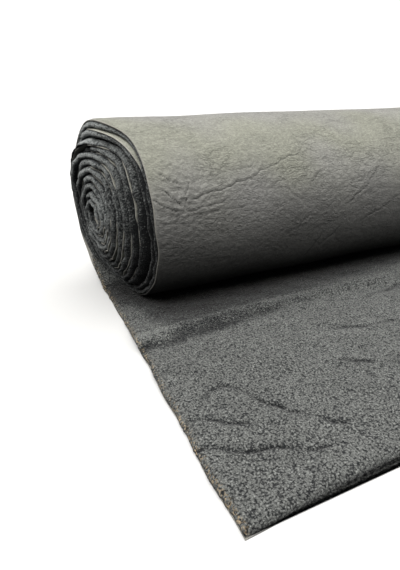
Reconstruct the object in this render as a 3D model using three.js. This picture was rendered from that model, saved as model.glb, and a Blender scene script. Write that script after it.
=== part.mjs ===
// A roll of plush cloth lying on its side, with its loose end spread out in front.
//
// The cloth is one length: a smooth leathery backing with a curly pile bonded to it. It is
// wound with the backing outwards. The turns have slid along each other, so the core stands out
// on the left. The right end isn't in the photo and is finished nearly level. The outermost
// turn comes down the back of the roll, passes under it and runs out in front, pile up.
//
// Frame: X runs along the roll's axis, the left end being the one that stands out. -Y is where
// the loose end lies, +Z is up. The origin is on the surface the cloth lies on, straight below
// the axis, halfway along the roll. Millimetres.
//
// A place round the roll is given in degrees about its axis: 0 is the back (+Y), 90 the top,
// 180 the front and 270 the bottom. Going inwards along the cloth, this angle grows.

import * as THREE from 'three';

// Cloth
const CLOTH_WIDTH = 1450;       // selvedge to selvedge
const CLOTH_THICKNESS = 9.8;    // backing and uncrushed pile together
const GAP = 0.3;                // clearance between the roll and the loose end

// Roll
const ROLL_RADIUS = 130;
const TURNS = 12;               // turns from the outermost to the core
const CORE_RADIUS = 9;          // of the empty eye the first turn was folded round
const CORE_DEPTH = 26;          // how far the eye can be looked into
const TURN_PITCH = (ROLL_RADIUS - CORE_RADIUS) / TURNS;
const PRESSED_FROM = 0.6;       // a turn keeps its radius for this share of its way round, from
                                // the back over the top, and loses a pitch while it is pressed
const EYE_SAG = 0.74;           // the innermost turns have sunk to this share of their height
const EYE_SPREAD = 1.12;        // and spread sideways by this share
const ROUND_FROM_RADIUS = 75;   // turns outside this radius are round again

// Slide of the turns along the axis
const CORE_SLIDE = 50;          // the core stands this far out of the outermost turn's front
const LEVEL_TURNS = 12;         // turns this far in lie level with the core
const OUTER_TURNS = 2.3;        // turns this far out have slid the whole way
const SLIDE_POWER = 2.2;
const RIGHT_SHARE = 0.2;        // share of the slide at the right end, which is nearly level
const ROLL_LENGTH = CLOTH_WIDTH + CORE_SLIDE;

// Slack of the outer turns behind the roll
const SLACK = 8;
const SLACK_SPREAD = 34;        // degrees

// Each turn's end, seen from the side: the backing's cut edge, the rounded pile and the
// groove before the next turn. inward is measured in turn pitches, sunk in millimetres.
const TURN_SECTION = [
  { name: 'backing edge', inward: 0.0, sunk: 2.0 },
  { name: 'pile crown', inward: 0.45, sunk: 0.0 },
  { name: 'groove', inward: 0.9, sunk: 4.5 },
];

// Unevenness of the roll's outside: soft waves round it and along it
const ROLL_WAVES = [
  { height: 0.9, round: 2, along: 1.5, phase: 0.4 },
  { height: 0.7, round: 3, along: 3.2, phase: 2.1 },
  { height: 0.5, round: 5, along: 5.3, phase: 4.0 },
];

// Loose end
const LOOSE_LENGTH = 450;       // from under the axis to the cut front edge
const LOOSE_EDGE_LEFT = 38.5;   // its left selvedge stands this far out of the roll's front rim
const LOOSE_SKEW = 0.072;       // sideways drift for each millimetre forwards
const CONTACT_HALF = 14;        // half the width of the flat strip under the roll
const TAIL_ANGLE = 28;          // degrees it climbs up the back before it counts as the roll
const TAIL_THICKNESS = 9;

// Folds of the loose end. A fold runs in a straight line from (x, y) to (toX, toY) and fades
// over its last part. back and front are the widths of its two slopes. x counts from the
// roll's front rim on the left.
const FOLDS = [
  { name: 'long ridge', x: -60, y: -162, toX: 640, toY: -148, height: 6.6, back: 46, front: 13 },
  { name: 'low swell', x: -60, y: -236, toX: 420, toY: -226, height: 2.2, back: 26, front: 40 },
];
const FOLD_FADE = 60;
const SELVEDGE_WAVE = { height: 1.2, length: 118 };
const FRONT_EDGE_WAVE = { height: 5, length: 430 };

// Mesh steps
const STEPS_ROUND = 48;
const STATIONS = 14;
const LOOSE_BANDS = [           // rows of the loose end, from its front edge to under the roll
  { name: 'flat front', to: -270, rows: 5 },
  { name: 'low swell', to: -190, rows: 5 },
  { name: 'ridge front', to: -150, rows: 7 },
  { name: 'ridge back', to: -60, rows: 6 },
  { name: 'under the roll', to: CONTACT_HALF, rows: 3 },
];
const TAIL_STEPS = 5;
const LOOSE_COLUMNS = 26;
const COLUMN_POWER = 1.9;       // crowds the columns towards the left selvedge

const TAU = 2 * Math.PI;
const START_ANGLE = -90 + TAIL_ANGLE;   // where the roll's outermost turn begins
const rad = (degrees) => degrees * Math.PI / 180;
const mix = (a, b, t) => a + (b - a) * t;
const clamp = (v, low, high) => Math.min(Math.max(v, low), high);
const bell = (v, spread) => Math.exp(-(v / spread) * (v / spread));
const ramp = (v) => 1 / (1 + Math.exp(-v));
const CONTACT_ANGLE = Math.asin(CONTACT_HALF / ROLL_RADIUS);
const rimX = (x) => x - ROLL_LENGTH / 2 + CORE_SLIDE;   // from the left front rim to the frame

// Radius of the backing's outer face after a number of turns from the outermost's start
function turnRadius(turn) {
  const whole = Math.floor(turn);
  const pressed = clamp((turn - whole - PRESSED_FROM) / (1 - PRESSED_FROM), 0, 1);
  return ROLL_RADIUS - TURN_PITCH * (whole + pressed * pressed * (3 - 2 * pressed));
}

// How far a turn's edge has slid back from the core's level: little behind the roll, all the
// way in front of it, with a quick rise past the top, a small one lower on the front and a fall
// under the bottom.
function slideRound(angle, turn) {
  const a = ((angle % 360) + 360) % 360;
  const front = 41 * ramp((a - 107) / 8) + 6 * ramp((a - 185) / 10) - 47 * ramp((a - 298) / 14);
  const behind = 4 + 5 * bell(a - 75, 30);
  const start = 11 - 7 * clamp(turn / 0.2, 0, 1);
  return mix(start, behind + front, clamp(turn / 0.25, 0, 1));
}

function slideAt(angle, turn) {
  const share = clamp((LEVEL_TURNS - turn) / (LEVEL_TURNS - OUTER_TURNS), 0, 1);
  return slideRound(angle, turn) * share ** SLIDE_POWER;
}

// A point of the wound form: its (y, z) for an angle, a radius and a place along the roll
// (0 at the left, 1 at the right). The eye has sunk, the outer turns hang slack behind, and
// the bottom is pressed flat where it lies on the loose end.
function woundPoint(angle, radius, along) {
  const a = rad(angle);
  const outer = clamp(radius / ROLL_RADIUS, 0, 1);
  const behind = ((angle + 180) % 360 + 360) % 360 - 180;
  let r = radius + SLACK * bell(behind - 4, SLACK_SPREAD) * outer ** 6;
  for (const w of ROLL_WAVES) {
    const fade = outer ** 4 * (1 - bell(behind + 80, 30));
    r += w.height * fade * Math.sin(w.round * a + w.phase) * Math.cos(w.along * Math.PI * along);
  }
  const round = clamp(radius / ROUND_FROM_RADIUS, 0, 1);
  const y = r * Math.cos(a) * mix(EYE_SPREAD, 1, round);
  const z = ROLL_RADIUS + r * Math.sin(a) * mix(EYE_SAG, 1, round);
  return [y, Math.max(z, CLOTH_THICKNESS + GAP)];
}

// Collects vertices and triangles of one closed solid
class Solid {
  constructor() {
    this.points = [];
    this.triangles = [];
  }

  add(x, y, z) {
    this.points.push(x, y, z);
    return this.points.length / 3 - 1;
  }

  quad(a, b, c, d) {
    this.triangles.push(a, b, c, a, c, d);
  }

  geometry() {
    const geometry = new THREE.BufferGeometry();
    geometry.setAttribute('position', new THREE.Float32BufferAttribute(this.points, 3));
    geometry.setIndex(this.triangles);
    geometry.computeVertexNormals();
    return geometry;
  }
}

// One end of the wound form. Its rows are spirals, one for each entry of TURN_SECTION and each
// turn, so row i at the end of a turn is row i + 3 at the start of the next. side is 0 for the
// left end and 1 for the right. Returns the outer outline and the eye's outline as loops.
function spiralEnd(solid, side) {
  const perTurn = TURN_SECTION.length;
  const rows = perTurn * (TURNS - 1);
  const outwards = side === 0 ? -1 : 1;
  const grid = [];
  const vertex = (row, column) => {
    const part = TURN_SECTION[row % perTurn];
    const turn = Math.floor(row / perTurn) + column / STEPS_ROUND;
    const radius = turnRadius(turn) - TURN_PITCH * part.inward;
    const angle = START_ANGLE + 360 * column / STEPS_ROUND;
    const [y, z] = woundPoint(angle, radius, side);
    const slide = (slideAt(angle, turn) - CORE_SLIDE) * (side === 0 ? 1 : RIGHT_SHARE);
    const sunk = row === 0 ? 0 : part.sunk;
    return solid.add(rimX(slide + side * CLOTH_WIDTH) - outwards * sunk, y, z);
  };
  for (let row = 0; row <= rows + perTurn; row += 1) grid.push([vertex(row, 0)]);
  for (let row = 0; row <= rows; row += 1) {
    for (let column = 1; column < STEPS_ROUND; column += 1) grid[row].push(vertex(row, column));
    grid[row].push(grid[row + perTurn][0]);
  }
  for (let row = 0; row < rows; row += 1) {
    for (let column = 0; column < STEPS_ROUND; column += 1) {
      const [a, b] = [grid[row][column], grid[row][column + 1]];
      const [c, d] = [grid[row + 1][column + 1], grid[row + 1][column]];
      if (side === 0) solid.quad(d, c, b, a);
      else solid.quad(a, b, c, d);
    }
  }
  const outline = grid[0].slice(0, STEPS_ROUND + 1);
  for (let row = perTurn - 1; row > 0; row -= 1) outline.push(grid[row][0]);
  const eye = grid[rows].slice(0, STEPS_ROUND + 1);
  for (let row = perTurn - 1; row > 0; row -= 1) eye.push(grid[rows + row][0]);
  return { outline, eye };
}

// The hole in the middle of an end, with straight walls and a flat floor
function coreEye(solid, loop, side) {
  const inwards = side === 0 ? 1 : -1;
  const floor = loop.map((i) => solid.add(
    solid.points[3 * i] + inwards * CORE_DEPTH, 0.9 * solid.points[3 * i + 1],
    mix(ROLL_RADIUS, solid.points[3 * i + 2], 0.9)));
  const centre = solid.add(solid.points[3 * floor[0]], 0, ROLL_RADIUS);
  loop.forEach((vertex, i) => {
    const next = (i + 1) % loop.length;
    if (side === 0) {
      solid.quad(floor[i], floor[next], loop[next], vertex);
      solid.triangles.push(centre, floor[next], floor[i]);
    } else {
      solid.quad(vertex, loop[next], floor[next], floor[i]);
      solid.triangles.push(floor[i], floor[next], centre);
    }
  });
}

// The roll's outside, from the left outline to the right one through a few stations
function rollOutside(solid, left, right) {
  const rings = [left];
  for (let station = 1; station < STATIONS; station += 1) {
    const along = station / STATIONS;
    rings.push(left.map((vertex, i) => {
      const x = mix(solid.points[3 * vertex], solid.points[3 * right[i]], along);
      const onStep = i > STEPS_ROUND;
      const turn = onStep ? 0 : i / STEPS_ROUND;
      const inward = onStep ? TURN_SECTION[left.length - i].inward : 0;
      const radius = turnRadius(turn) - TURN_PITCH * inward;
      const [y, z] = woundPoint(START_ANGLE + 360 * turn, radius, along);
      return solid.add(x, y, z);
    }));
  }
  rings.push(right);
  for (let ring = 0; ring + 1 < rings.length; ring += 1) {
    const [near, far] = [rings[ring], rings[ring + 1]];
    near.forEach((vertex, i) => {
      const next = (i + 1) % near.length;
      solid.quad(near[next], far[next], far[i], vertex);
    });
  }
}

function woundRoll() {
  const solid = new Solid();
  const left = spiralEnd(solid, 0);
  const right = spiralEnd(solid, 1);
  coreEye(solid, left.eye, 0);
  coreEye(solid, right.eye, 1);
  rollOutside(solid, left.outline, right.outline);
  return solid.geometry();
}

// Height of one fold at a point, counted from the left front rim
function foldHeight(fold, x, y) {
  const [dx, dy] = [fold.toX - fold.x, fold.toY - fold.y];
  const length = Math.hypot(dx, dy);
  const along = ((x - fold.x) * dx + (y - fold.y) * dy) / length;
  const across = ((y - fold.y) * dx - (x - fold.x) * dy) / length;
  const past = Math.max(along - length, -along - FOLD_FADE, 0);
  const width = across > 0 ? fold.back : fold.front;
  return fold.height * bell(across, width) * bell(past, FOLD_FADE);
}

// A point of the part that climbs the back of the roll, by an angle about its axis. The
// underside leaves the floor a little later than a true circle would.
function tailPoint(across, climb, top) {
  const x = rimX(across * CLOTH_WIDTH - LOOSE_EDGE_LEFT);
  const left = (rad(TAIL_ANGLE) - climb) / (rad(TAIL_ANGLE) - CONTACT_ANGLE);
  const settled = ROLL_RADIUS * (1 - Math.cos(CONTACT_ANGLE)) * left;
  const flat = (ROLL_RADIUS - CLOTH_THICKNESS) / Math.cos(climb);
  const radius = top ? Math.min(ROLL_RADIUS - TAIL_THICKNESS, flat) : ROLL_RADIUS;
  const z = ROLL_RADIUS - radius * Math.cos(climb) - (top ? 0 : settled);
  return [x, radius * Math.sin(climb), z];
}

// A point of the part that lies on the floor, for a share of the width and a place y
function loosePoint(across, y, top) {
  const skewed = -LOOSE_EDGE_LEFT + LOOSE_SKEW * Math.min(y, 0);
  const wave = SELVEDGE_WAVE.height * Math.sin(TAU * y / SELVEDGE_WAVE.length);
  const x = skewed + across * CLOTH_WIDTH + wave * (1 - across) * clamp(-y / 100, 0, 1);
  const front = clamp((-y - 300) / 150, 0, 1);
  const edge = FRONT_EDGE_WAVE.height * Math.sin(TAU * x / FRONT_EDGE_WAVE.length) * front;
  let lift = 0;
  for (const fold of FOLDS) lift += foldHeight(fold, x, y);
  lift *= clamp((-y - 60) / 40, 0, 1);
  return [rimX(x), y + edge, lift + (top ? CLOTH_THICKNESS : 0)];
}

// The loose end: a top and an underside on one grid, closed round its rim
function looseEnd() {
  const solid = new Solid();
  const rows = [(across, top) => loosePoint(across, -LOOSE_LENGTH, top)];
  let from = -LOOSE_LENGTH;
  for (const band of LOOSE_BANDS) {
    for (let i = 1; i <= band.rows; i += 1) {
      const y = mix(from, band.to, i / band.rows);
      rows.push((across, top) => loosePoint(across, y, top));
    }
    from = band.to;
  }
  const lastClimb = rad(TAIL_ANGLE) - GAP / ROLL_RADIUS;
  for (let i = 1; i <= TAIL_STEPS; i += 1) {
    const climb = mix(CONTACT_ANGLE, lastClimb, i / TAIL_STEPS);
    rows.push((across, top) => tailPoint(across, climb, top));
  }
  const layer = (top) => rows.map((pointAt) => {
    const line = [];
    for (let column = 0; column <= LOOSE_COLUMNS; column += 1) {
      const across = (column / LOOSE_COLUMNS) ** COLUMN_POWER;
      line.push(solid.add(...pointAt(across, top)));
    }
    return line;
  });
  const [over, under] = [layer(true), layer(false)];
  const last = rows.length - 1;
  for (let row = 0; row < last; row += 1) {
    for (let column = 0; column < LOOSE_COLUMNS; column += 1) {
      const next = column + 1;
      solid.quad(over[row][column], over[row][next], over[row + 1][next], over[row + 1][column]);
      solid.quad(under[row][column], under[row + 1][column], under[row + 1][next], under[row][next]);
    }
    solid.quad(over[row][0], over[row + 1][0], under[row + 1][0], under[row][0]);
    const end = LOOSE_COLUMNS;
    solid.quad(over[row][end], under[row][end], under[row + 1][end], over[row + 1][end]);
  }
  for (let column = 0; column < LOOSE_COLUMNS; column += 1) {
    const next = column + 1;
    solid.quad(over[0][column], under[0][column], under[0][next], over[0][next]);
    solid.quad(over[last][column], over[last][next], under[last][next], under[last][column]);
  }
  return solid.geometry();
}

function piece(name, geometry, color, roughness) {
  const material = new THREE.MeshStandardMaterial({ color, roughness, metalness: 0 });
  const mesh = new THREE.Mesh(geometry, material);
  mesh.name = name;
  return mesh;
}

const roll = new THREE.Group();
roll.add(piece('wound_roll', woundRoll(), 0x8b8a82, 0.8));
roll.add(piece('loose_end', looseEnd(), 0x6f716e, 0.95));

export default roll;
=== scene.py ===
"""A roll of plush cloth on its side with its loose end spread out in front.

Shapes are worked out in millimetres and made in metres. A place round the roll is an angle
about its axis in degrees: 0 is the back, 90 the top, 180 the front and 270 the bottom. A place
along the cloth is a number of turns from the outermost one's start, growing inwards.
"""

import math

import bpy
import numpy as np
from bpy.props import FloatProperty, FloatVectorProperty, PointerProperty
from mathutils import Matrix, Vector


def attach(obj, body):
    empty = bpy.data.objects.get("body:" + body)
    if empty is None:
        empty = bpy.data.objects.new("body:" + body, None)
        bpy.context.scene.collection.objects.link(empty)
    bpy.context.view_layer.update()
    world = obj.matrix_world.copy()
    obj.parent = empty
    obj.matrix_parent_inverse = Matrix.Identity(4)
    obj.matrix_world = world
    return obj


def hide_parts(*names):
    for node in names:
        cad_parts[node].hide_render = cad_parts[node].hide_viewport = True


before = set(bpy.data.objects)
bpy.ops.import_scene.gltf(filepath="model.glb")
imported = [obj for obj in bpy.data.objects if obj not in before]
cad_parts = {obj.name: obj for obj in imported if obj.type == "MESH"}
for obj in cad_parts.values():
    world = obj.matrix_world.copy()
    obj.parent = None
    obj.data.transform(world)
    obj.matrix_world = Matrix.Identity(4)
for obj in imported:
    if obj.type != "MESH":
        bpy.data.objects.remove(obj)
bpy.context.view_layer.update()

bl_info = {
    "name": "Roll of Plush Cloth",
    "version": (1, 0, 0),
    "blender": (4, 5, 0),
    "location": "View3D > Sidebar > Cloth Roll",
    "description": "Makes a wound roll of bonded plush with its loose end, and a plain studio",
    "category": "Add Mesh",
}

TAU = 2 * math.pi
MM = 0.001

# The cloth and its roll, as in the solids
CLOTH_WIDTH = 1450.0
ROLL_RADIUS = 130.0
TURNS = 12
CORE_RADIUS = 9.0
TURN_PITCH = (ROLL_RADIUS - CORE_RADIUS) / TURNS
PRESSED_FROM = 0.6              # share of a turn after which it is pressed inwards
EYE_SAG, EYE_SPREAD = 0.74, 1.12
ROUND_FROM_RADIUS = 75.0        # turns outside this radius are round again
CORE_SLIDE = 50.0               # the core stands this far out of the outermost turn's front
LEVEL_TURNS, OUTER_TURNS, SLIDE_POWER = 12.0, 2.3, 2.2
RIGHT_SHARE = 0.2               # share of the slide at the right end
SLACK, SLACK_SPREAD = 8.0, 34.0
TAIL_ANGLE = 28.0               # degrees the loose end climbs before it counts as the roll
START_ANGLE = TAIL_ANGLE - 90
CONTACT_HALF = 14.0             # half the width of the flat strip under the roll
CONTACT_ANGLE = math.degrees(math.asin(CONTACT_HALF / ROLL_RADIUS))
FLOOR_CLOTH = 10.1              # the roll lies on this much cloth
RIM = -700.0                    # frame x of the left front rim
ROLL_WAVES = (
    # height, waves round the roll, waves along it, phase
    (0.9, 2, 1.5, 0.4),
    (0.7, 3, 3.2, 2.1),
    (0.5, 5, 5.3, 4.0),
)
MM_PER_DEGREE = 2.27            # round the roll's outside
TUCKED_ANGLE, OUTER_END_ANGLE = 244.0, 309.0    # the outermost turn goes under there, and ends
INNER_END = 11.6                # turns at which the cloth's inner end lies

# The loose end, as in the solids
LOOSE_LENGTH, LOOSE_EDGE_LEFT, LOOSE_SKEW = 450.0, 38.5, 0.072
SELVEDGE_WAVE_HEIGHT, SELVEDGE_WAVE_LENGTH = 1.2, 118.0
FRONT_WAVE_HEIGHT, FRONT_WAVE_LENGTH = 5.0, 430.0
FOLDS = (
    # x, y, to x, to y, height, back, front
    (-60, -162, 640, -148, 6.6, 46, 13),
    (-60, -236, 420, -226, 2.2, 26, 40),
)
FOLD_FADE = 60.0

# The camera, as fitted to the photo: place in metres, directions in degrees, and the focal
# length and the photo's height in pixels
CAMERA_PLACE = (-0.906343, -0.662612, 0.315048)
CAMERA_YAW, CAMERA_PITCH = 63.745, 23.729
FOCAL_PIXELS, PHOTO_HEIGHT, SENSOR_WIDTH = 480, 570, 36


def mix(a, b, share):
    return a + (b - a) * share


def ramp(v):
    return 1 / (1 + np.exp(-v))


def bell(v, spread):
    return np.exp(-(v / spread) ** 2)


def smooth(v):
    v = np.clip(v, 0, 1)
    return v * v * (3 - 2 * v)


def hills(v, table):
    """A sum of bells from a table of (height, place, spread)."""
    return sum(height * bell(v - place, spread) for height, place, spread in table)


def field(u, v, length, seed, stretch=1.0, heading=0.0, count=12):
    """An even random relief: the sum of waves of about one length, each in its own direction,
    drawn out by stretch along heading. It is about as often below 0 as above, mostly within 2."""
    draw = np.random.default_rng(seed)
    along = (u * math.cos(heading) + v * math.sin(heading)) / stretch
    across = v * math.cos(heading) - u * math.sin(heading)
    total = 0.0
    for _ in range(count):
        way = draw.uniform(0, TAU)
        pace = TAU / length * draw.uniform(0.75, 1.3)
        phase = draw.uniform(0, TAU)
        total = total + np.cos(pace * (along * math.cos(way) + across * math.sin(way)) + phase)
    return total * math.sqrt(2 / count)


def curls(u, v, length, seed, stretch=1.0, heading=0.0):
    """Rounded locks from 0 in the creases between them to 1 on their crowns: the distance of a
    random relief from its zero line, flattened towards the top."""
    return np.minimum(np.abs(field(u, v, 2 * length, seed, stretch, heading)) / 1.1, 1) ** 0.65


def spaced(start, bands):
    """Places from start on, in even steps up to the end of each band of (end, step)."""
    places = [np.array([float(start)])]
    for end, step in bands:
        last = places[-1][-1]
        places.append(np.linspace(last, end, max(2, round(abs(end - last) / step) + 1))[1:])
    return np.concatenate(places)


def widening(start, end, step, growth, widest):
    """Places from start to end whose steps grow by a factor until the widest one."""
    steps = np.minimum(step * growth ** np.arange(4000), widest)
    places = start + np.cumsum(steps)
    places = places[: np.searchsorted(places, end) + 1]
    return start + (places - start) * (end - start) / (places[-1] - start)


# Shapes of the wound cloth


def turn_radius(turn):
    """Radius of the backing's outer face. It keeps its value from the back over the top and
    loses a pitch while the turn is pressed between the front and the bottom."""
    turn = np.maximum(turn, 0)
    whole = np.floor(turn)
    pressed = smooth((turn - whole - PRESSED_FROM) / (1 - PRESSED_FROM))
    return ROLL_RADIUS - TURN_PITCH * (whole + pressed)


# Rises of a turn's slide round the axis: millimetres, angle, spread in degrees
SLIDE_RISES = (
    (41, 107, 8),
    (6, 185, 10),
    (-47, 298, 14),
)

# Where turns stand out beside the even slide: millimetres, turn, spread in turns
STANDING_TURNS = (
    (3, 1.7, 0.45),
    (5, 1.49, 0.09),
    (5, 3.6, 0.5),
)

# How far each turn's left edge lies back behind the roll's axis, beside the even slide
BACK_STEPS = np.array([0, 2, 4, 0, 1, 3, 0, 4, 1, 5, 0, 4, 2, 2])
BACK_STEP_TURN = 0.328          # each step begins at the roll's bottom, this long before a turn
BACK_STAND = 11                 # millimetres that the middle turns stand out behind the axis


def slide(turn):
    """How far a turn's left edge stands back from the core's level. The second turn stands out
    a little past the top, where a strip of its backing shows, and so does the fourth. Behind
    the axis the turns are nearly level, but from the third to the eighth they stand out."""
    late = np.maximum(turn, 0)
    angle = np.mod(START_ANGLE + 360 * turn, 360)
    front = sum(rise * ramp((angle - place) / spread) for rise, place, spread in SLIDE_RISES)
    behind = 4 + 5 * bell(angle - 75, 30)
    start = 11 - 7 * np.clip(late / 0.2, 0, 1)
    around = mix(start, behind + front, np.clip(late / 0.25, 0, 1))
    share = np.clip((LEVEL_TURNS - late) / (LEVEL_TURNS - OUTER_TURNS), 0, 1) ** SLIDE_POWER
    uneven = 1.5 * np.sin(TAU * 0.83 * late + 1.0) + 1.1 * np.sin(TAU * 0.31 * late + 2.0)
    back = np.mod(angle + 180, 360) - 180
    number = np.clip(np.floor(turn + BACK_STEP_TURN), 0, len(BACK_STEPS) - 1).astype(int)
    steps = np.take(BACK_STEPS, number) * bell(back, 62)
    steps = steps + 4 * bell(back - 40, 24) * (1 - smooth((late - 1.5) / 0.8))
    middle = smooth((late - 2.4) / 1.0) - smooth((late - 6.5) / 3.5)
    steps = steps * smooth((late - 0.15) / 0.15) - BACK_STAND * middle * bell(back - 47, 43)
    even = around * share - hills(late, STANDING_TURNS)
    return even + uneven * smooth((late - 1.9) / 0.8) + steps


# Unevenness of the inner turns, and more of it low on the front: millimetres, waves round a
# turn, phase, drift from turn to turn
TURN_WAVES = (
    (1.1, 3, 0.0, 0.4),
    (0.8, 5, 1.1, 0.7),
    (0.5, 8, 0.0, -0.5),
)
LOW_FRONT_WAVES = (
    (0.9, 17, 0.0, 2.2),
    (0.6, 29, 0.0, -3.1),
)


def rippled(a, turn, table):
    """A sum of waves round a turn from one of the tables above."""
    return sum(height * np.sin(waves * a + phase + drift * turn) for height, waves, phase, drift in table)


def wound(turn, inward, along):
    """(y, z) of the wound cloth, inward from the backing's outer face, at a share of the roll's
    length: a spiral with a sagged eye, slack behind, soft waves, and turns that nest unevenly."""
    angle = START_ANGLE + 360 * turn
    a = np.radians(angle)
    radius = turn_radius(turn) - inward
    outer = np.clip(radius / ROLL_RADIUS, 0, 1)
    behind = np.mod(angle + 180, 360) - 180
    r = radius + SLACK * bell(behind - 4, SLACK_SPREAD) * outer**6
    still = outer**4 * (1 - bell(behind + 80, 30))
    for height, waves, length, phase in ROLL_WAVES:
        r = r + height * still * np.sin(waves * a + phase) * np.cos(length * math.pi * along)
    inner = smooth((turn - 0.85) / 0.6) * np.clip(radius / 40, 0, 1)
    r = r + inner * rippled(a, turn, TURN_WAVES)
    low_front = bell(np.mod(angle, 360) - 232, 34) * inner
    r = r + low_front * rippled(a, turn, LOW_FRONT_WAVES)
    r = r + 6 * bell(np.mod(angle, 360) - 262, 45) * np.sin(math.pi * outer) * inner
    round_share = np.clip(radius / ROUND_FROM_RADIUS, 0, 1)
    y = r * np.cos(a) * mix(EYE_SPREAD, 1, round_share)
    z = ROLL_RADIUS + r * np.sin(a) * mix(EYE_SAG, 1, round_share)
    settled = ROLL_RADIUS * (1 - math.cos(math.radians(CONTACT_ANGLE)))
    z = z - settled * np.clip(-turn * 360 / (TAIL_ANGLE - CONTACT_ANGLE), 0, 1)
    lowest = np.where(turn < 0.3, 0.0, FLOOR_CLOTH)
    return y, np.maximum(z, lowest + np.where(turn < 0.3, np.minimum(inward, 9), 0))


def edge_places(turn, sunk_left=0.0):
    """Frame x of the left and the right edge of the cloth at a number of turns."""
    back = slide(turn) - CORE_SLIDE
    return RIM + back + sunk_left, RIM + CLOTH_WIDTH + back * RIGHT_SHARE - sunk_left


def even_turns(start, end, step):
    """Numbers of turns whose points on the spiral are step millimetres apart."""
    fine = np.linspace(start, end, 4000)
    pace = TAU * np.maximum(turn_radius(fine), 12)
    run = np.concatenate([[0], np.cumsum((pace[1:] + pace[:-1]) / 2 * np.diff(fine))])
    return np.interp(np.linspace(0, run[-1], round(run[-1] / step) + 1), run, fine)


# Creases of the backing on the roll's front: (x from the rim, angle) to (x, angle), how far the
# middle bows round the roll in millimetres, depth and width
CREASES = (
    (35, 162, 146, 152, 2, 1.1, 2.2),
    (140, 152.6, 236, 139, -1.5, 0.95, 2.1),
    (9, 146, 39, 153, 1, 1.2, 1.9),
    (9, 155, 35, 164, 0.5, 1.4, 1.9),
    (-6, 160, 33, 168, 0.8, 1.4, 2.0),
    (48, 152, 42, 160, 1.5, 0.8, 2.0),
    (42, 160, 34, 167, -1, 1.0, 2.0),
    (31, 168, 108, 162.5, 3, 0.9, 2.2),
    (110, 148.5, 150, 144.5, 0.5, 0.6, 2.0),
    (74, 151, 104, 147.5, 0.5, 0.6, 2.0),
    (22, 172, 156, 169, -2, 0.6, 2.2),
    (52, 170, 96, 177, 1, 0.5, 2.0),
    (8, 182, 44, 186, 0.5, 0.5, 2.0),
    (5, 175, 28, 172.5, 0.5, 0.6, 2.0),
    (96, 182, 150, 179, 1, 0.4, 2.0),
    (196, 191, 234, 179, 3, 0.5, 2.8),
    (190, 161, 220, 169.5, 1, 0.6, 2.2),
    (234, 160, 266, 151.5, -1, 0.7, 2.2),
    (217, 146, 247, 147, 0.5, 0.5, 2.0),
    (244, 215, 262, 193, 4, 0.6, 4.0),
    (262, 206, 296, 188, 5, 0.5, 4.0),
    (300, 176, 372, 150, 5, 0.9, 2.6),
    (330, 190, 420, 170, 4, 0.7, 2.8),
    (470, 165, 590, 140, 6, 0.8, 3.0),
    (640, 185, 720, 166, 4, 0.7, 3.0),
    (820, 158, 960, 142, 6, 0.8, 3.4),
    (1010, 180, 1120, 160, 5, 0.7, 3.4),
)


def creased(x, angle):
    """Height of the creases: each is a narrow trough along a bowed line with a soft welt on
    both sides, fading towards its ends."""
    around = np.radians(angle) * ROLL_RADIUS
    total = 0.0
    for x0, a0, x1, a1, bow, depth, width in CREASES:
        v0, v1 = math.radians(a0) * ROLL_RADIUS, math.radians(a1) * ROLL_RADIUS
        length = math.hypot(x1 - x0, v1 - v0)
        ex, ev = (x1 - x0) / length, (v1 - v0) / length
        along = ((x - x0) * ex + (around - v0) * ev) / length
        across = (around - v0) * ex - (x - x0) * ev - bow * 4 * along * (1 - along)
        run = along * length
        across = across + 1.2 * np.sin(run / 7 + bow) + 0.7 * np.sin(run / 2.9 - bow)
        fade = smooth(along / 0.16 + 0.3) * smooth((1 - along) / 0.2 + 0.2)
        welt = bell(np.abs(across) - 1.4 * width, 1.1 * width)
        total = total + depth * fade * (0.35 * welt - 0.9 * bell(across, width * 0.46))
    return total


def backing_relief(x, angle):
    """Relief of the backing's outer face beside its creases: soft puckers that are strongest
    where the creases meet by the rim, and a long slow unevenness."""
    around = np.radians(angle) * ROLL_RADIUS
    front = bell(np.mod(angle, 360) - 160, 42)
    slow = 0.5 * field(x, around, 95, 3, 1.8)
    puckers = 0.07 * field(x, around, 17, 5, 1.7) + 0.08 * field(x, around, 6.5, 6, 1.6)
    by_the_rim = bell(x - 28, 36) * bell(angle - 160, 19)
    return slow + puckers * (0.6 + 0.8 * front + 2.4 * by_the_rim)


# Meshes


def made(name, points, faces, sizes, attributes=None, material=None):
    """An object from points in millimetres and flat lists of face corners and face sizes, its
    faces turned outwards by the sign of the volume that they close."""
    mesh = bpy.data.meshes.new(name)
    points = np.asarray(points, float).reshape(-1, 3) * MM
    starts = np.concatenate([[0], np.cumsum(sizes)[:-1]])
    quads = faces[: 4 * int(np.sum(sizes == 4))].reshape(-1, 4)
    a, b, c, d = (points[quads[:, corner]] for corner in range(4))
    volume = np.einsum("ij,ij->", a, np.cross(b, c)) + np.einsum("ij,ij->", a, np.cross(c, d))
    if volume < 0:
        first = np.repeat(starts, sizes)
        last = first + np.repeat(sizes, sizes) - 1
        faces = faces[last - (np.arange(len(faces)) - first)]
    mesh.vertices.add(len(points))
    mesh.vertices.foreach_set("co", points.ravel())
    mesh.loops.add(len(faces))
    mesh.loops.foreach_set("vertex_index", faces)
    mesh.polygons.add(len(sizes))
    mesh.polygons.foreach_set("loop_start", starts)
    mesh.update(calc_edges=True)
    mesh.validate()
    for label, values in (attributes or {}).items():
        layer = mesh.attributes.new(label, "FLOAT", "POINT")
        layer.data.foreach_set("value", np.ascontiguousarray(values, float).ravel())
    mesh.polygons.foreach_set("use_smooth", np.ones(len(sizes), bool))
    obj = bpy.data.objects.new(name, mesh)
    bpy.context.scene.collection.objects.link(obj)
    if material:
        mesh.materials.append(material)
    return obj


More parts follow.
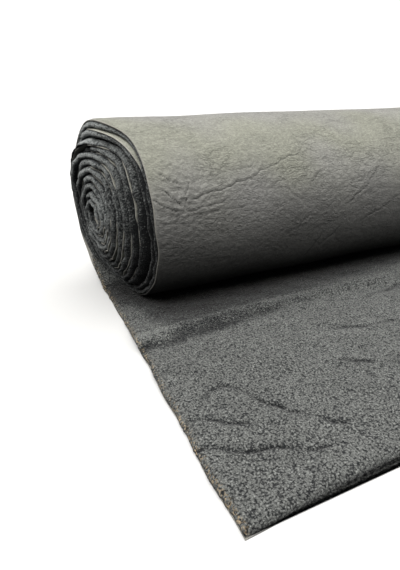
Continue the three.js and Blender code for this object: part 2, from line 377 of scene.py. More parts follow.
def swept(name, points, attributes=None, material=None):
    """A closed piece from rings of points, an array of (rings, points round, 3): quads join
    each ring to the next, and a flat face closes the first ring and the last."""
    rings, around = points.shape[:2]
    index = np.arange(rings * around).reshape(rings, around)
    here, there = index, np.roll(index, -1, axis=1)
    quads = np.stack([here[:-1], there[:-1], there[1:], here[1:]], -1).reshape(-1)
    faces = np.concatenate([quads, index[0][::-1], index[-1]])
    sizes = np.concatenate([np.full((rings - 1) * around, 4), [around, around]])
    return made(name, points, faces, sizes, attributes, material)


def cut_edges(share):
    """1 on the backing's two cut edges and 0 on its face, for shares of the cloth's width."""
    return 1 - smooth((share * CLOTH_WIDTH - 0.2) / 1.2) + smooth((share - 1) * CLOTH_WIDTH + 1.2)


def outer_backing(material):
    """The backing of the outermost turn, which shows all over the roll's outside: a thin band
    whose outer face carries the creases, from where it leaves the floor round to the same
    place one turn further in."""
    angle = spaced(-92, ((95, 2.1), (128, 1.05), (204, 0.8), (240, 1.2), (OUTER_END_ANGLE, 2.1)))
    turn = (angle - START_ANGLE) / 360
    fine = np.concatenate([spaced(0, ((285, 1.75),)), widening(285, CLOTH_WIDTH, 1.75, 1.035, 13)])
    thick, bevel = 1.8, 0.35
    far_edge = [CLOTH_WIDTH - bevel, CLOTH_WIDTH, CLOTH_WIDTH]
    over = np.concatenate([[0.0, 0.0, bevel], fine[1:-1], far_edge])
    inward = np.concatenate([[thick, 0.3, 0.0], 0 * fine[1:-1], [0.0, 0.3, thick]])
    under = np.array([1400.0, 700.0, 12.0])
    across = np.concatenate([over, under])
    inward = np.concatenate([inward, np.full(len(under), thick)])
    outside = np.concatenate([np.ones(len(over)), np.zeros(len(under))])
    tucked = smooth((angle - TUCKED_ANGLE) / 20)
    left, right = edge_places(turn)
    left = left + 3.2 * (1 - smooth((turn + 0.03) / 0.1)) + 4.5 * tucked
    share = across / CLOTH_WIDTH
    x = mix(left[:, None], right[:, None], share[None, :])
    round_mm = angle * MM_PER_DEGREE
    wave = 0.35 * field(round_mm, 0 * angle, 60, 17)
    x = x + wave[:, None] * bell(share * CLOTH_WIDTH, 30)[None, :]
    crease = creased(x - RIM, angle[:, None])
    relief = backing_relief(x - RIM, angle[:, None]) + crease
    near_edge = smooth(share * CLOTH_WIDTH / 6)
    lift = np.maximum(relief + 0.7, -1.2) * outside * (1 - tucked)[:, None] * near_edge[None, :]
    y, z = wound(turn[:, None], inward[None, :] - lift, share[None, :])
    # Painted shade: darker from the front down towards the floor, standing in for the shade under the
    # roll.
    painted_light_and_shade = smooth((angle - 146) / 72) + 0.72 * smooth((angle - 206) / 26)
    # Painted light: a greenish-beige tint of the light over the lit upper front, about 128 degrees.
    border = angle[:, None] - 128 + 7 * field(x, round_mm[:, None], 130, 9)
    return swept("outer_backing", np.stack([x, y, z], -1), {
        "cut": cut_edges(share) + 0 * x,
        "crease": crease * outside,
        "painted_light_and_shade": painted_light_and_shade[:, None] + 0 * x,
        "painted_light_tint": bell(border, 27)}, material)


# Stretches, in turns, along which the backing's edge stands proud of the pile
PROUD_EDGES = (
    (2.50, 2.68),
    (3.42, 3.47),
    (3.53, 3.64),
    (4.40, 4.50),
    (5.46, 5.56),
    (6.44, 6.53),
)


# Gaps between the turns behind the top: depth, turn, spread in turns
GAPS = (
    (13, 3.36, 0.075),
    (9, 5.27, 0.06),
    (6, 7.3, 0.06),
)


def hollow_places(turn):
    """How far the pile's end is sunk where the turns gape behind the top, and in the eye."""
    return hills(turn, GAPS) + 9 * smooth((turn - 10.75) / 0.35)


def inner_backing(material):
    """The backing of all further turns: a thin band wound to the cloth's inner end. It shows
    as thin lines and narrow steps at the roll's ends."""
    turn = even_turns((OUTER_END_ANGLE - START_ANGLE) / 360, INNER_END, 2.2)
    thick, edge = 1.2, CLOTH_WIDTH
    profile = np.array([
        [0, thick], [0, 0.25], [0.3, 0], [1.2, 0], [3, 0], [12, 0], [40, 0], [edge - 40, 0],
        [edge - 0.3, 0], [edge, 0.25], [edge, thick], [700, thick], [8, thick]])
    across, inward = profile[:, 0] / CLOTH_WIDTH, profile[:, 1]
    run = turn * 480
    low_front = bell(np.mod(START_ANGLE + 360 * turn, 360) - 222, 42) * smooth((turn - 4.2) / 0.5)
    proud = low_front
    for start, end in PROUD_EDGES:
        proud = np.maximum(proud, smooth((turn - start) / 0.02 + 1) * smooth((end - turn) / 0.02 + 1))
    strip = smooth((turn - 1.37) / 0.05) * (1 - smooth((turn - 1.5) / 0.07))
    sunk = 4.8 - 2.4 * proud - 2.6 * low_front + 0.7 * field(run, 0 * run, 60, 19)
    sunk = mix(4.5, sunk + hollow_places(turn - 1), smooth((turn - 1.1) / 0.15))
    sunk = np.maximum(sunk, 0) * (1 - strip)
    left, right = edge_places(turn, sunk)
    x = mix(left[:, None], right[:, None], across[None, :])
    x = x + (0.3 * field(turn * 700, 0 * turn, 40, 18))[:, None] * (across < 0.02)
    y, z = wound(turn[:, None], inward[None, :], across[None, :])
    # Painted light: the greenish-beige tint of the light all over, and more painted light on the strip of
    # backing that shows past the top.
    return swept("inner_backing", np.stack([x, y, z], -1), {
        "cut": cut_edges(across) + 0 * x,
        "crease": 0 * x,
        "painted_light_tint": 0.9 + 0 * x,
        "painted_light_and_shade": -0.65 * strip[:, None] + 0 * x}, material)


def roll_pile(material):
    """The pile bonded to the inner side of every turn, with a rounded curly end on the left and
    the right. It fills the space to the next turn, or as much of it as its own thickness, and
    its outer face follows the backing's waves along the roll."""
    turn = even_turns(0.03, INNER_END, 1.8)
    paces = TAU * np.maximum(turn_radius(turn[1:]), 12) * np.diff(turn)
    run = np.concatenate([[0], np.cumsum(paces)])
    left_q = (1 - np.cos(np.linspace(0, math.pi, 11))) / 2
    right_q = np.array([1.0, 0.66, 0.33, 0.0])
    between = np.array([0.86, 0.72, 0.58, 0.44, 0.3, 0.16])    # the face against the backing
    share = np.concatenate([left_q, [1.0], right_q, 0 * between, [0.0]])
    along = np.concatenate([0 * left_q, [0], 1 + 0 * right_q, between, [0]])
    inside = np.concatenate([0 * left_q, [25], 0 * right_q, 0 * between, [25]])
    y0, z0 = wound(turn, 0, 0.0)
    y1, z1 = wound(turn + 1, 0, 0.0)
    apart = np.maximum(np.hypot(y1 - y0, z1 - z0), 3)
    thin = 1 - 0.45 * smooth((turn - 10.5) / 0.3)
    own = 8.6 * thin * (1 + 0.06 * field(run, 0 * run, 28, 21))
    thick = np.minimum(apart - 1.5, own)
    outer_gap = mix(1.9, 1.15, smooth((turn - 1) / 0.03))
    depth = (outer_gap[:, None] + share[None, :] * (thick - outer_gap + 1.15)[:, None]) / apart[:, None]
    ya, za = wound(turn[:, None], 0, along[None, :])
    yb, zb = wound(turn[:, None] + 1, 0, along[None, :])
    y, z = mix(ya, yb, depth), mix(za, zb, depth)
    left, right = edge_places(turn)
    next_left, next_right = edge_places(turn + 1)
    step = np.minimum(next_left - left, 0)
    wide = np.hypot(step, thick)[:, None] * share[None, :]
    lock = curls(run[:, None], wide, 3.4, 31)
    small = field(run[:, None], wide, 4.5, 32)
    angle = np.mod(START_ANGLE + 360 * turn + 180, 360) - 180
    core = smooth((turn - 7) / 2)
    groove = 4.9 - 2.6 * bell(angle - 72, 42) * (1 - core) - 1.9 * core
    recess = 0.3 + groove[:, None] * np.abs(2 * share - 1)[None, :] ** 2.4
    recess = recess - 0.85 * lock + 0.2 * small + 0.8 * field(run, 0 * run, 33, 33)[:, None]
    recess = recess + (hollow_places(turn) + 7 * (1 - smooth((turn - 0.03) / 0.07)))[:, None]
    cover = 0.97 + 0.04 * field(run, 0 * run, 25, 34) - 0.9 * bell(turn - 0.5, 0.1)
    cover = cover[:, None] * share**0.8
    left = left[:, None] + step[:, None] * cover
    right = right[:, None] + np.maximum(next_right - right, 0)[:, None] * cover
    x = mix(left + recess, right - recess, along[None, :]) + inside
    # The hollow attribute is painted shade: dark between the locks, at the turns' joins and where the
    # turns gape.
    crown = 1 - np.abs(2 * share - 1)[None, :] ** 2.5 - 0.07 * hollow_places(turn)[:, None]
    hollow = 1 - np.clip(1.1 * lock**1.2, 0, 1) * np.clip(crown, 0, 1)
    # The shade attribute is painted light and shade: painted light on the crests near the top and in the
    # core, painted shade low on the front of the outer turns and behind the axis.
    lit = mix(bell(angle - 72, 33) * smooth((turn - 0.15) / 0.2), 0.3, core)
    dark = 0.75 * bell(np.mod(angle, 360) - 200, 55) * (1 - smooth((turn - 3) / 1.6))
    shade = dark + 0.1 * bell(angle, 50) - 5.6 * lit
    return swept("roll_pile", np.stack([x, y, z], -1), {
        "hollow": hollow, "shade": shade[:, None] + 0 * x}, material)


# Shapes of the loose end


def fold_bend(x):
    """How far the folds bend back towards the roll, beside the straight lines of the solids."""
    return 12 * smooth((x + 45) / 130) * (1 - smooth((x - 180) / 300))


def fold_height(x, y):
    """Height of the folds: each is a ridge along a line, steeper in front, fading at its end."""
    total = 0.0
    y = y - fold_bend(x)
    for x0, y0, x1, y1, height, back, front in FOLDS:
        length = math.hypot(x1 - x0, y1 - y0)
        ex, ey = (x1 - x0) / length, (y1 - y0) / length
        along = (x - x0) * ex + (y - y0) * ey
        across = (y - y0) * ex - (x - x0) * ey
        past = np.maximum(np.maximum(along - length, -along - FOLD_FADE), 0)
        total = total + height * bell(across, np.where(across > 0, back, front)) * bell(past, FOLD_FADE)
    return total * np.clip((-y - 60) / 40, 0, 1)


# Dents of the loose end: (x, y) to (x, y), bow, depth and width
DENTS = (
    (6, -287, 43, -354, 1, 2.6, 2.6),
    (43, -354, 86, -397, -2, 2.6, 2.6),
    (-38, -310, 6, -287, 2, 1.6, 2.6),
    (-57, -321, 22, -368, 2, 2.2, 2.4),
    (-64, -359, 50, -416, -2, 2.6, 2.6),
    (-50, -180, 11, -180, -2, 1.5, 6.0),
    (11, -180, 106, -169, -1, 1.3, 6.0),
    (106, -169, 225, -160, 2, 0.8, 6.0),
    (130, -300, 215, -345, 5, 1.8, 3.0),
    (190, -240, 290, -262, -4, 1.6, 3.0),
    (300, -190, 430, -176, 4, 1.6, 4.0),
    (250, -380, 380, -410, 5, 2.0, 3.0),
)


def dented(x, y):
    """Depth of the dents, each broken up along its bowed line."""
    total = 0.0
    for x0, y0, x1, y1, bow, depth, width in DENTS:
        length = math.hypot(x1 - x0, y1 - y0)
        ex, ey = (x1 - x0) / length, (y1 - y0) / length
        along = ((x - x0) * ex + (y - y0) * ey) / length
        across = (y - y0) * ex - (x - x0) * ey - bow * 4 * along * (1 - along)
        across = across + 2.2 * np.sin(along * length / 9 + depth)
        fade = smooth(along / 0.14 + 0.4) * smooth((1 - along) / 0.16 + 0.4)
        broken = 0.65 + 0.35 * np.sin(along * length / 11 + 2 * bow)
        total = total + depth * fade * broken * bell(across, width)
    return total


def trough_shade(x, y):
    """Painted shade from 1 in the trough before the long ridge to painted light, below 0, on its
    crest, fading to the right."""
    crest = y + 161 - 0.02 * (x + 60) - fold_bend(x)
    broken = 0.75 + 0.3 * field(x, y, 21, 51, 2.0)
    trough = 0.62 * bell(crest + 21, 9) * (1 - smooth((x - 10) / 190)) * broken
    return trough - 0.45 * bell(crest - 1, 6) * (1 - smooth((x - 90) / 260))


def roll_shade(x, y):
    """The painted soft shadow beside the roll, from 1 under its front to 0 about 100 mm before it,
    rounded about its left end."""
    aside = np.maximum(25 - 35 * smooth((y + 80) / 60) - x, 0) / 55
    before = np.maximum(-92 + 0.14 * np.maximum(x - 50, 0) - y, 0) / 105
    return (1 - smooth(np.hypot(aside, before))) * (1 - smooth((y - CONTACT_HALF) / 30))


def loose_edges(y):
    """Frame x of the left and right selvedge of the loose end."""
    left = -LOOSE_EDGE_LEFT + LOOSE_SKEW * np.minimum(y, 0)
    wave = SELVEDGE_WAVE_HEIGHT * np.sin(TAU * y / SELVEDGE_WAVE_LENGTH) * np.clip(-y / 100, 0, 1)
    return RIM + left + wave, RIM + left + CLOTH_WIDTH


def front_wave(x, y):
    """How far the cut front edge waves forwards and back."""
    wave = FRONT_WAVE_HEIGHT * np.sin(TAU * (x - RIM) / FRONT_WAVE_LENGTH)
    return wave * np.clip((-y - 300) / 150, 0, 1)


def loose_pile(material):
    """The pile of the loose end: a curly upper face over folds and dents, rounded off at both
    selvedges and the front edge, on a flat underside that lies on the backing. It goes on
    under the roll and a little up its back, along the outermost turn."""
    path = spaced(-LOOSE_LENGTH, (
        (-446, 0.8), (-262, 1.35), (-150, 1.5), (-100, 2), (-40, 3), (CONTACT_HALF, 3.5), (100, 2.2)))
    near_left = spaced(0, ((4, 0.8), (260, 1.35)))
    across = np.concatenate([near_left, widening(260, CLOTH_WIDTH, 1.5, 1.06, 20)])
    under = np.array([1440.0, 700.0, 8.0])
    s = np.concatenate([across, under]) / CLOTH_WIDTH
    top = np.concatenate([np.ones(len(across)), np.zeros(len(under))])
    climb = np.maximum(path - CONTACT_HALF, 0)
    climbs = climb > 0
    turn = (CONTACT_ANGLE - TAIL_ANGLE + np.degrees(climb / ROLL_RADIUS)) / 360
    tail_left, tail_right = edge_places(turn)
    flat_left, flat_right = loose_edges(np.minimum(path, CONTACT_HALF))
    left = np.where(climbs, tail_left, flat_left)
    right = np.where(climbs, tail_right, flat_right)
    x = mix(left[:, None] + 2.6, right[:, None] - 2.6, s[None, :])
    y = np.broadcast_to(path[:, None], x.shape)
    heading = math.radians(35)
    lock = curls(x, y, 3.4, 41, 1.35, heading)
    big = curls(x, y, 8.5, 42, 1.3, heading)
    dents = dented(x - RIM, y)
    fray = field(y, 0 * y, 5, 43) * 0.35 + field(y, 0 * y, 37, 44) * 0.45
    x = x + fray * bell(s * CLOTH_WIDTH, 9)
    from_side = np.minimum(s, 1 - s) * CLOTH_WIDTH
    from_edge = np.minimum(from_side, np.maximum(y + LOOSE_LENGTH, 0)) + 0.15
    rounded = np.sqrt(np.clip(1 - (1 - np.clip(from_edge / 7.5, 0, 1)) ** 2, 0, 1))
    roll_edge = np.where(climbs, edge_places(turn + 1)[0], RIM - 5)
    free = np.maximum(smooth((-y - 28) / 30), smooth((roll_edge[:, None] - 4 - x) / 8))
    relief = 1.2 * lock + 0.5 * big + 0.5 * field(x, y, 52, 45) - 1.8
    height = mix(9.3, 9.6, smooth((-y - 28) / 30)) + relief * mix(0.15, 1, free) - dents * free
    inward = np.where(top > 0.5, 0.9 + (height - 0.9) * rounded, 0.9)
    tail_y, tail_z = wound(turn[:, None], inward * np.where(climbs, 0.93, 1)[:, None], s[None, :])
    z = np.where(climbs[:, None], tail_z, inward + fold_height(x - RIM, y))
    # The shade attribute is painted light and shade: the roll's painted shadow, painted shade in the
    # trough before the long ridge and in the dents, and painted light on the ridge's crest.
    below = roll_shade(x - RIM, y)
    shade = trough_shade(x - RIM, y) + np.minimum(dents / 2.2, 1.2) + 1.5 * below + 1.2 * below**3
    rim = bell(s * CLOTH_WIDTH, 3.2) + bell((1 - s) * CLOTH_WIDTH, 3.2) + 0 * x
    y = np.where(climbs[:, None], tail_y, y + front_wave(x, y))
    # The hollow attribute is painted shade between the locks.
    hollow = 1 - np.clip(1.1 * lock * (0.85 + 0.15 * big), 0, 1)
    return swept("loose_pile", np.stack([x, y, z], -1), {
        "hollow": hollow, "shade": shade, "rim": rim}, material)


def loose_backing(material):
    """The backing under the loose end's pile, out to its selvedges: a thin band that follows
    the folds."""
    y = spaced(-LOOSE_LENGTH - 0.8, ((-300, 15), (-100, 8), (CONTACT_HALF, 19)))
    near_left = spaced(0, ((1, 1), (25, 6), (300, 25)))
    places = np.concatenate([near_left, widening(300, CLOTH_WIDTH, 25, 1.1, 90)])
    s = np.concatenate([places, places[::-1]]) / CLOTH_WIDTH
    top = np.concatenate([np.ones(len(places)), np.zeros(len(places))])
    left, right = loose_edges(y)
    x = mix(left[:, None] + 3.2, right[:, None] - 3.2, s[None, :])
    yy = np.broadcast_to(y[:, None], x.shape)
    z = fold_height(x - RIM, yy) + np.where(top > 0.5, 0.9, 0.0)
    cut = 1 - smooth((s * CLOTH_WIDTH - 1) / 4)
    points = np.stack([x, yy + front_wave(x, yy), z], -1)
    return swept("loose_backing", points, {"cut": cut + 0 * x, "crease": 0 * x}, material)


# Materials


class Socket:
    """A shader value or colour. Adding, taking away and multiplying make Math nodes."""

    def __init__(self, shader, socket):
        self.shader, self.socket = shader, socket

    def _math(self, operation, first, second):
        return self.shader.node("ShaderNodeMath", {"operation": operation}, {0: first, 1: second})

    def __add__(self, other):
        return self._math("ADD", self, other)

    __radd__ = __add__

    def __mul__(self, other):
        return self._math("MULTIPLY", self, other)

    __rmul__ = __mul__

    def __sub__(self, other):
        return self._math("SUBTRACT", self, other)

    def __rsub__(self, other):
        return self._math("SUBTRACT", other, self)

    def size(self):
        return self._math("ABSOLUTE", self, 0.0)

    def at_least(self, other):
        return self._math("MAXIMUM", self, other)

    def clipped(self):
        return self.shader.node("ShaderNodeClamp", {}, {"Value": self})


class Shader:
    """The nodes of one material."""

    def __init__(self, name):
        self.material = bpy.data.materials.new(name)
        self.material.use_nodes = True
        self.tree = self.material.node_tree
        self.surface = self.tree.nodes["Principled BSDF"]

    def node(self, kind, settings=None, inputs=None, output=0):
        """Adds a node, sets it, and gives its inputs values or links. Returns one output."""
        made_node = self.tree.nodes.new(kind)
        for key, value in (settings or {}).items():
            setattr(made_node, key, value)
        for key, value in (inputs or {}).items():
            self.give(made_node.inputs[key], value)
        return Socket(self, made_node.outputs[output])

    def give(self, socket, value):
        if isinstance(value, Socket):
            self.tree.links.new(value.socket, socket)
        else:
            socket.default_value = value

    def place(self, stretch=(1, 1, 1), turned=(0, 0, 0)):
        """Object coordinates, drawn out and turned."""
        coordinates = self.tree.nodes.new("ShaderNodeTexCoord")
        return self.node("ShaderNodeMapping", {}, {
            "Vector": Socket(self, coordinates.outputs["Object"]),
            "Scale": tuple(1 / s for s in stretch), "Rotation": turned})

    def noise(self, place, millimetres, detail=2.0, rough=0.5, warp=0.0):
        """Noise from 0 to 1 whose patches are about so many millimetres across."""
        return self.node("ShaderNodeTexNoise", {}, {
            "Vector": place, "Scale": 1000 / millimetres, "Detail": detail, "Roughness": rough,
            "Distortion": warp})

    def cells(self, place, millimetres, feature="DISTANCE_TO_EDGE"):
        """Distance inside cells of about so many millimetres, as a share of a cell."""
        return self.node("ShaderNodeTexVoronoi", {"feature": feature}, {
            "Vector": place, "Scale": 1000 / millimetres})

    def lines(self, place, millimetres, sharpness):
        """Thin curved lines, 1 on a line and 0 beside it, where noise crosses its middle."""
        noise = self.noise(place, millimetres, 3.0, 0.55, 0.6)
        return 1.0 - ((noise - 0.5).size() * sharpness).clipped()

    def shaded(self, colour, brightness):
        """A colour times a brightness."""
        return self.node("ShaderNodeVectorMath", {"operation": "SCALE"}, {0: colour, "Scale": brightness})

    def attribute(self, label):
        return self.node("ShaderNodeAttribute", {"attribute_name": label}, output=2)

    def colour(self, share, first, second):
        """A colour between two, by a share."""
        mixed = self.tree.nodes.new("ShaderNodeMix")
        mixed.data_type = "RGBA"
        colours = [s for s in mixed.inputs if s.type == "RGBA"]
        for socket, value in ((mixed.inputs[0], share), (colours[0], first), (colours[1], second)):
            plain = isinstance(value, (tuple, list)) and len(value) == 3
            self.give(socket, (*value, 1.0) if plain else value)
        return Socket(self, next(s for s in mixed.outputs if s.type == "RGBA"))

    def bump(self, height, millimetres, strength=1.0, below=None):
        """A normal from a height of 0 to 1 that stands for so many millimetres."""
        inputs = {"Height": height, "Distance": millimetres * MM, "Strength": strength}
        if below is not None:
            inputs["Normal"] = below
        return self.node("ShaderNodeBump", {}, inputs)

    def finish(self, inputs):
        for label, value in inputs.items():
            self.give(self.surface.inputs[label], value)
        return self.material


def backing_material(face, painted_light_tint, edge):
    """Matt suede-like backing: soft patches, a fine grain and short broken wrinkles drawn out along
    the roll, painted shade where creases sink and towards the floor, painted light on the strip past
    the top, a greenish-beige tint painted where the light falls, and a paler cut edge."""
    s = Shader("backing_suede")
    place = s.place((1.5, 1.0, 1.0))
    grain = s.noise(place, 2.2, 3.0, 0.65)
    soft = s.noise(place, 10, 2.0)
    patches = s.noise(s.place((2.2, 1, 1)), 60, 3.0, 0.55)
    where = ((s.noise(s.place((1.6, 1, 1)), 42, 2.0) - 0.4) * 5.0).clipped()
    wrinkles = s.lines(s.place((1.9, 1, 1)), 10, 15.0) * where
    crackle = s.lines(place, 4.0, 9.0)
    crease = s.attribute("crease")
    # The greenish-beige tint painted where the light falls
    base = s.colour(s.attribute("painted_light_tint").clipped(), face, painted_light_tint)
    brightness = 0.49 + 0.30 * patches + 0.20 * soft + 0.72 * grain - 0.26 * crackle - 0.22 * wrinkles
    shaded = s.shaded(base, brightness)
    # Painted shade where the creases sink
    sunk = s.colour((crease * -1.2).clipped() * 0.85, shaded, tuple(c * 0.2 for c in face))
    fibres = s.colour(s.noise(s.place(), 1.1, 2.0), tuple(c * 0.5 for c in edge), edge)
    edged = s.colour(s.attribute("cut").clipped(), sunk, fibres)
    # Painted shade towards the floor and painted light on the strip past the top
    coloured = s.shaded(edged, 1.0 - 0.53 * s.attribute("painted_light_and_shade"))
    height = grain * 0.75 + soft * 0.15 - crackle * 0.3 - wrinkles * 0.6
    return s.finish({
        "Base Color": coloured,
        "Roughness": 0.72 + grain * 0.2,
        "Normal": s.bump(height, 1.2, 0.8),
        "Sheen Weight": 0.05,
        "Specular IOR Level": 0.08,
    })


def pile_material(tip, root, rim_thread, name, lock_size, hollows, gaps):
    """Matt curly pile: painted shade in its hollows and, by the share of gaps, between its small
    locks, and lighter on their crowns, with single fibres as a fine relief, slow patches of lighter
    and darker pile, painted light and shade by its shade attribute, and a selvedge bound by tan threads."""
    s = Shader(name)
    place = s.place()
    hollow = s.attribute("hollow") * hollows
    warp = s.node("ShaderNodeVectorMath", {"operation": "MULTIPLY_ADD"}, {
        0: s.node("ShaderNodeTexNoise", {}, {"Vector": place, "Scale": 420.0, "Detail": 1.0}, output=1),
        1: (0.003, 0.003, 0.003), 2: place})
    small = s.cells(warp, lock_size, "F1")
    fibre = s.noise(place, 0.8, 3.0, 0.65)
    patches = s.noise(place, 38, 3.0, 0.55)
    specks = s.noise(place, 1.9, 1.0, 0.4)
    between = ((small - 0.36) * 2.4).clipped() * gaps
    # Painted light and shade: the shade attribute darkens towards the root colour, the painted shade
    # colour, and scales the brightness, which is lighter where it is below 0.
    shade = ((s.attribute("shade") + 0.3).clipped() - 0.3) * (0.55 + 0.4 * specks)
    depth = (hollow + between + fibre * 0.45 + (specks - 0.5) * (0.6 + gaps * 0.7) + shade - 0.2).clipped()
    base = s.colour(depth, tip, root)
    patched = s.shaded(base, (0.75 + 0.5 * patches - 0.4 * s.attribute("shade")).at_least(0.04))
    crowns = ((0.42 - specks) * 5.0).clipped() * (1.0 - depth)
    ends = s.colour(crowns, patched, tuple(min(1, c * 1.9) for c in tip))
    stitches = ((s.noise(place, 2.4, 1.0) - 0.52) * 6.0).clipped() * s.attribute("rim").clipped()
    bound = s.colour(stitches, ends, rim_thread)
    height = (1.0 - small) * 0.9 + fibre * 0.4
    return s.finish({
        "Base Color": bound,
        "Roughness": 0.97,
        "Normal": s.bump(height, 1.5, 1.0),
        "Sheen Weight": 0.12,
        "Specular IOR Level": 0.1,
    })


def floor_material(colour):
    """Pale matt studio floor."""
    s = Shader("studio_floor")
    tint = s.noise(s.place(), 900, 2.0)
    return s.finish({
        "Base Color": s.colour(tint, tuple(c * 0.98 for c in colour), colour),
        "Roughness": 0.9,
        "Specular IOR Level": 0.1,
    })


def studio_floor(material):
    """The floor: a disc that is flat for 5 m and then rises gently all round, as a parabola of
    the distance past there, so that it ends above the camera's view."""
    circles = np.concatenate([[0.01], np.linspace(1, 15.5, 59)])
    around, out = np.meshgrid(np.linspace(0, TAU, 97)[:-1], circles)
    rise = 0.062 * np.maximum(out - 5, 0) ** 2
    points = np.stack([out * np.cos(around), out * np.sin(around), rise - 0.0002], -1) / MM
    rings, across = around.shape
    index = np.arange(rings * across).reshape(rings, across)
    turned = np.roll(index, -1, axis=1)
    quads = np.stack([index[:-1], index[1:], turned[1:], turned[:-1]], -1).reshape(-1)
    faces = np.concatenate([quads, index[0]])
    sizes = np.concatenate([np.full((rings - 1) * across, 4), [across]])
    return made("floor", points, faces, sizes, material=material)


# Settings, operators and panel


class ClothSettings(bpy.types.PropertyGroup):
    backing: FloatVectorProperty(
        name="Backing", description="Colour of the suede-like face", subtype="COLOR",
        default=(0.197, 0.195, 0.188), min=0, max=1)
    # The greenish-beige tint painted where the light falls
    painted_light_tint: FloatVectorProperty(
        name="Light_Tinted Backing", description="Colour of the suede-like face where it has yellowed",
        subtype="COLOR", default=(0.200, 0.202, 0.170), min=0, max=1)
    cut_edge: FloatVectorProperty(
        name="Cut Edge", description="Colour of the backing's cut edge", subtype="COLOR",
        default=(0.33, 0.32, 0.29), min=0, max=1)
    pile_tip: FloatVectorProperty(
        name="Pile Crowns", description="Colour of the curls' crowns", subtype="COLOR",
        default=(0.113, 0.117, 0.112), min=0, max=1)
    # The pile's painted shade colour, for its hollows and the gaps between its curls
    painted_pile_shade: FloatVectorProperty(
        name="Pile Depths", description="Colour between the curls", subtype="COLOR",
        default=(0.007, 0.008, 0.009), min=0, max=1)
    thread: FloatVectorProperty(
        name="Selvedge Thread", description="Colour of the threads that bind the selvedges",
        subtype="COLOR", default=(0.36, 0.28, 0.18), min=0, max=1)
    lock_size: FloatProperty(
        name="Small Locks", description="Size of the smallest curls", unit="LENGTH",
        default=0.0021, min=0.001, max=0.01)


class StudioSettings(bpy.types.PropertyGroup):
    key: FloatProperty(
        name="Key Light", description="Strength of the light from above on the left", default=4.2, min=0)
    soft: FloatProperty(
        name="Soft Light", description="Strength of the wide light from above", default=4.2, min=0)
    fill: FloatProperty(
        name="Fill Light", description="Strength of the light from all round", default=0.05, min=0)
    floor: FloatVectorProperty(
        name="Floor", description="Colour of the floor", subtype="COLOR",
        default=(0.52, 0.52, 0.52), min=0, max=1)


def finished(obj, slot, *nodes):
    """Rides a piece on the cloth's one body and hides the solids that it replaces."""
    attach(obj, "root")
    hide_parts(*nodes)
    return obj


def shared(label, make):
    """A material that several pieces use, made the first time."""
    return bpy.data.materials.get(label) or make()


def suede():
    c = bpy.context.scene.cloth_roll
    return shared("backing_suede", lambda: backing_material(
        tuple(c.backing), tuple(c.painted_light_tint), tuple(c.cut_edge)))


class MakeRoll(bpy.types.Operator):
    """Makes the wound cloth: its outermost backing, its inner turns and their pile"""

    bl_idname = "cloth_roll.make_roll"
    bl_label = "Make Wound Roll"

    def execute(self, context):
        c = context.scene.cloth_roll
        finished(outer_backing(suede()), "backing", "wound_roll")
        finished(inner_backing(suede()), "backing", "wound_roll")
        tip = tuple(x * k for x, k in zip(c.pile_tip, (1.02, 1.04, 1.07)))
        pile = pile_material(tip, tuple(c.painted_pile_shade), tuple(c.thread), "wound_pile",
                             c.lock_size * 1000, 1.0, 0.5)
        finished(roll_pile(pile), "pile", "wound_roll")
        return {"FINISHED"}


class MakeLooseEnd(bpy.types.Operator):
    """Makes the loose end: its curly pile and the backing under it"""

    bl_idname = "cloth_roll.make_loose_end"
    bl_label = "Make Loose End"

    def execute(self, context):
        c = context.scene.cloth_roll
        pile = pile_material(tuple(c.pile_tip), tuple(c.painted_pile_shade), tuple(c.thread), "loose_pile",
                             c.lock_size * 1000, 0.25, 1.0)
        upper = finished(loose_pile(pile), "pile", "loose_end")
        under = finished(loose_backing(suede()), "backing", "loose_end")
        return {"FINISHED"}


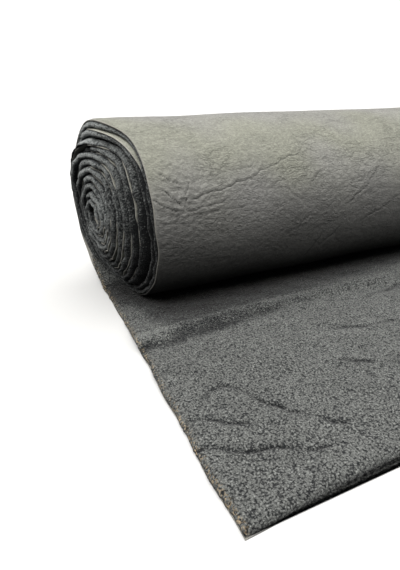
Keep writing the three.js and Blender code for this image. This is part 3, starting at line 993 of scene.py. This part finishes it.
class MakeStudio(bpy.types.Operator):
    """Makes the pale floor, the soft lights and the camera"""

    bl_idname = "cloth_roll.make_studio"
    bl_label = "Make Studio"

    def execute(self, context):
        scene, s = context.scene, context.scene.cloth_studio
        floor = studio_floor(floor_material(tuple(s.floor)))
        floor.visible_diffuse = floor.visible_glossy = False

        world = bpy.data.worlds.new("studio")
        world.use_nodes = True
        world.node_tree.nodes["Background"].inputs["Color"].default_value = (0.93, 0.96, 1.0, 1)
        world.node_tree.nodes["Background"].inputs["Strength"].default_value = s.fill
        scene.world = world

        for label, energy, spread, towards in (
                ("key", s.key, 56, Vector((-0.577, -0.176, 1.0))),
                ("soft", s.soft, 90, Vector((0.364, 0.0, 1.0)))):
            light = bpy.data.lights.new(label, "SUN")
            light.energy, light.angle, light.color = energy, math.radians(spread), (1.0, 0.99, 0.965)
            lamp = bpy.data.objects.new(label, light)
            lamp.rotation_mode = "QUATERNION"
            lamp.rotation_quaternion = towards.to_track_quat("Z", "Y")
            scene.collection.objects.link(lamp)

        camera = bpy.data.cameras.new("camera")
        camera.lens = FOCAL_PIXELS * SENSOR_WIDTH / PHOTO_HEIGHT
        camera.sensor_width = SENSOR_WIDTH
        eye = bpy.data.objects.new("camera", camera)
        eye.location = CAMERA_PLACE
        yaw, pitch = math.radians(CAMERA_YAW), math.radians(CAMERA_PITCH)
        look = Vector((math.cos(yaw) * math.cos(pitch), math.sin(yaw) * math.cos(pitch), -math.sin(pitch)))
        eye.rotation_mode = "QUATERNION"
        eye.rotation_quaternion = look.to_track_quat("-Z", "Y")
        camera.clip_start, camera.clip_end = 0.01, 200
        scene.collection.objects.link(eye)
        scene.camera = eye
        scene.view_settings.view_transform = "Standard"
        return {"FINISHED"}


class ClothRollPanel(bpy.types.Panel):
    bl_idname = "VIEW3D_PT_cloth_roll"
    bl_label = "Roll of Plush Cloth"
    bl_space_type = "VIEW_3D"
    bl_region_type = "UI"
    bl_category = "Cloth Roll"

    def draw(self, context):
        for settings in (context.scene.cloth_roll, context.scene.cloth_studio):
            for label in settings.__annotations__:
                self.layout.prop(settings, label)
        for operator in (MakeRoll, MakeLooseEnd, MakeStudio):
            self.layout.operator(operator.bl_idname)


CLASSES = (ClothSettings, StudioSettings, MakeRoll, MakeLooseEnd, MakeStudio, ClothRollPanel)


def register():
    for made_class in CLASSES:
        bpy.utils.register_class(made_class)
    bpy.types.Scene.cloth_roll = PointerProperty(type=ClothSettings)
    bpy.types.Scene.cloth_studio = PointerProperty(type=StudioSettings)


def unregister():
    del bpy.types.Scene.cloth_studio
    del bpy.types.Scene.cloth_roll
    for made_class in reversed(CLASSES):
        bpy.utils.unregister_class(made_class)


def main():
    register()
    bpy.ops.cloth_roll.make_roll()
    bpy.ops.cloth_roll.make_loose_end()
    bpy.ops.cloth_roll.make_studio()


if __name__ == "__main__":
    main()
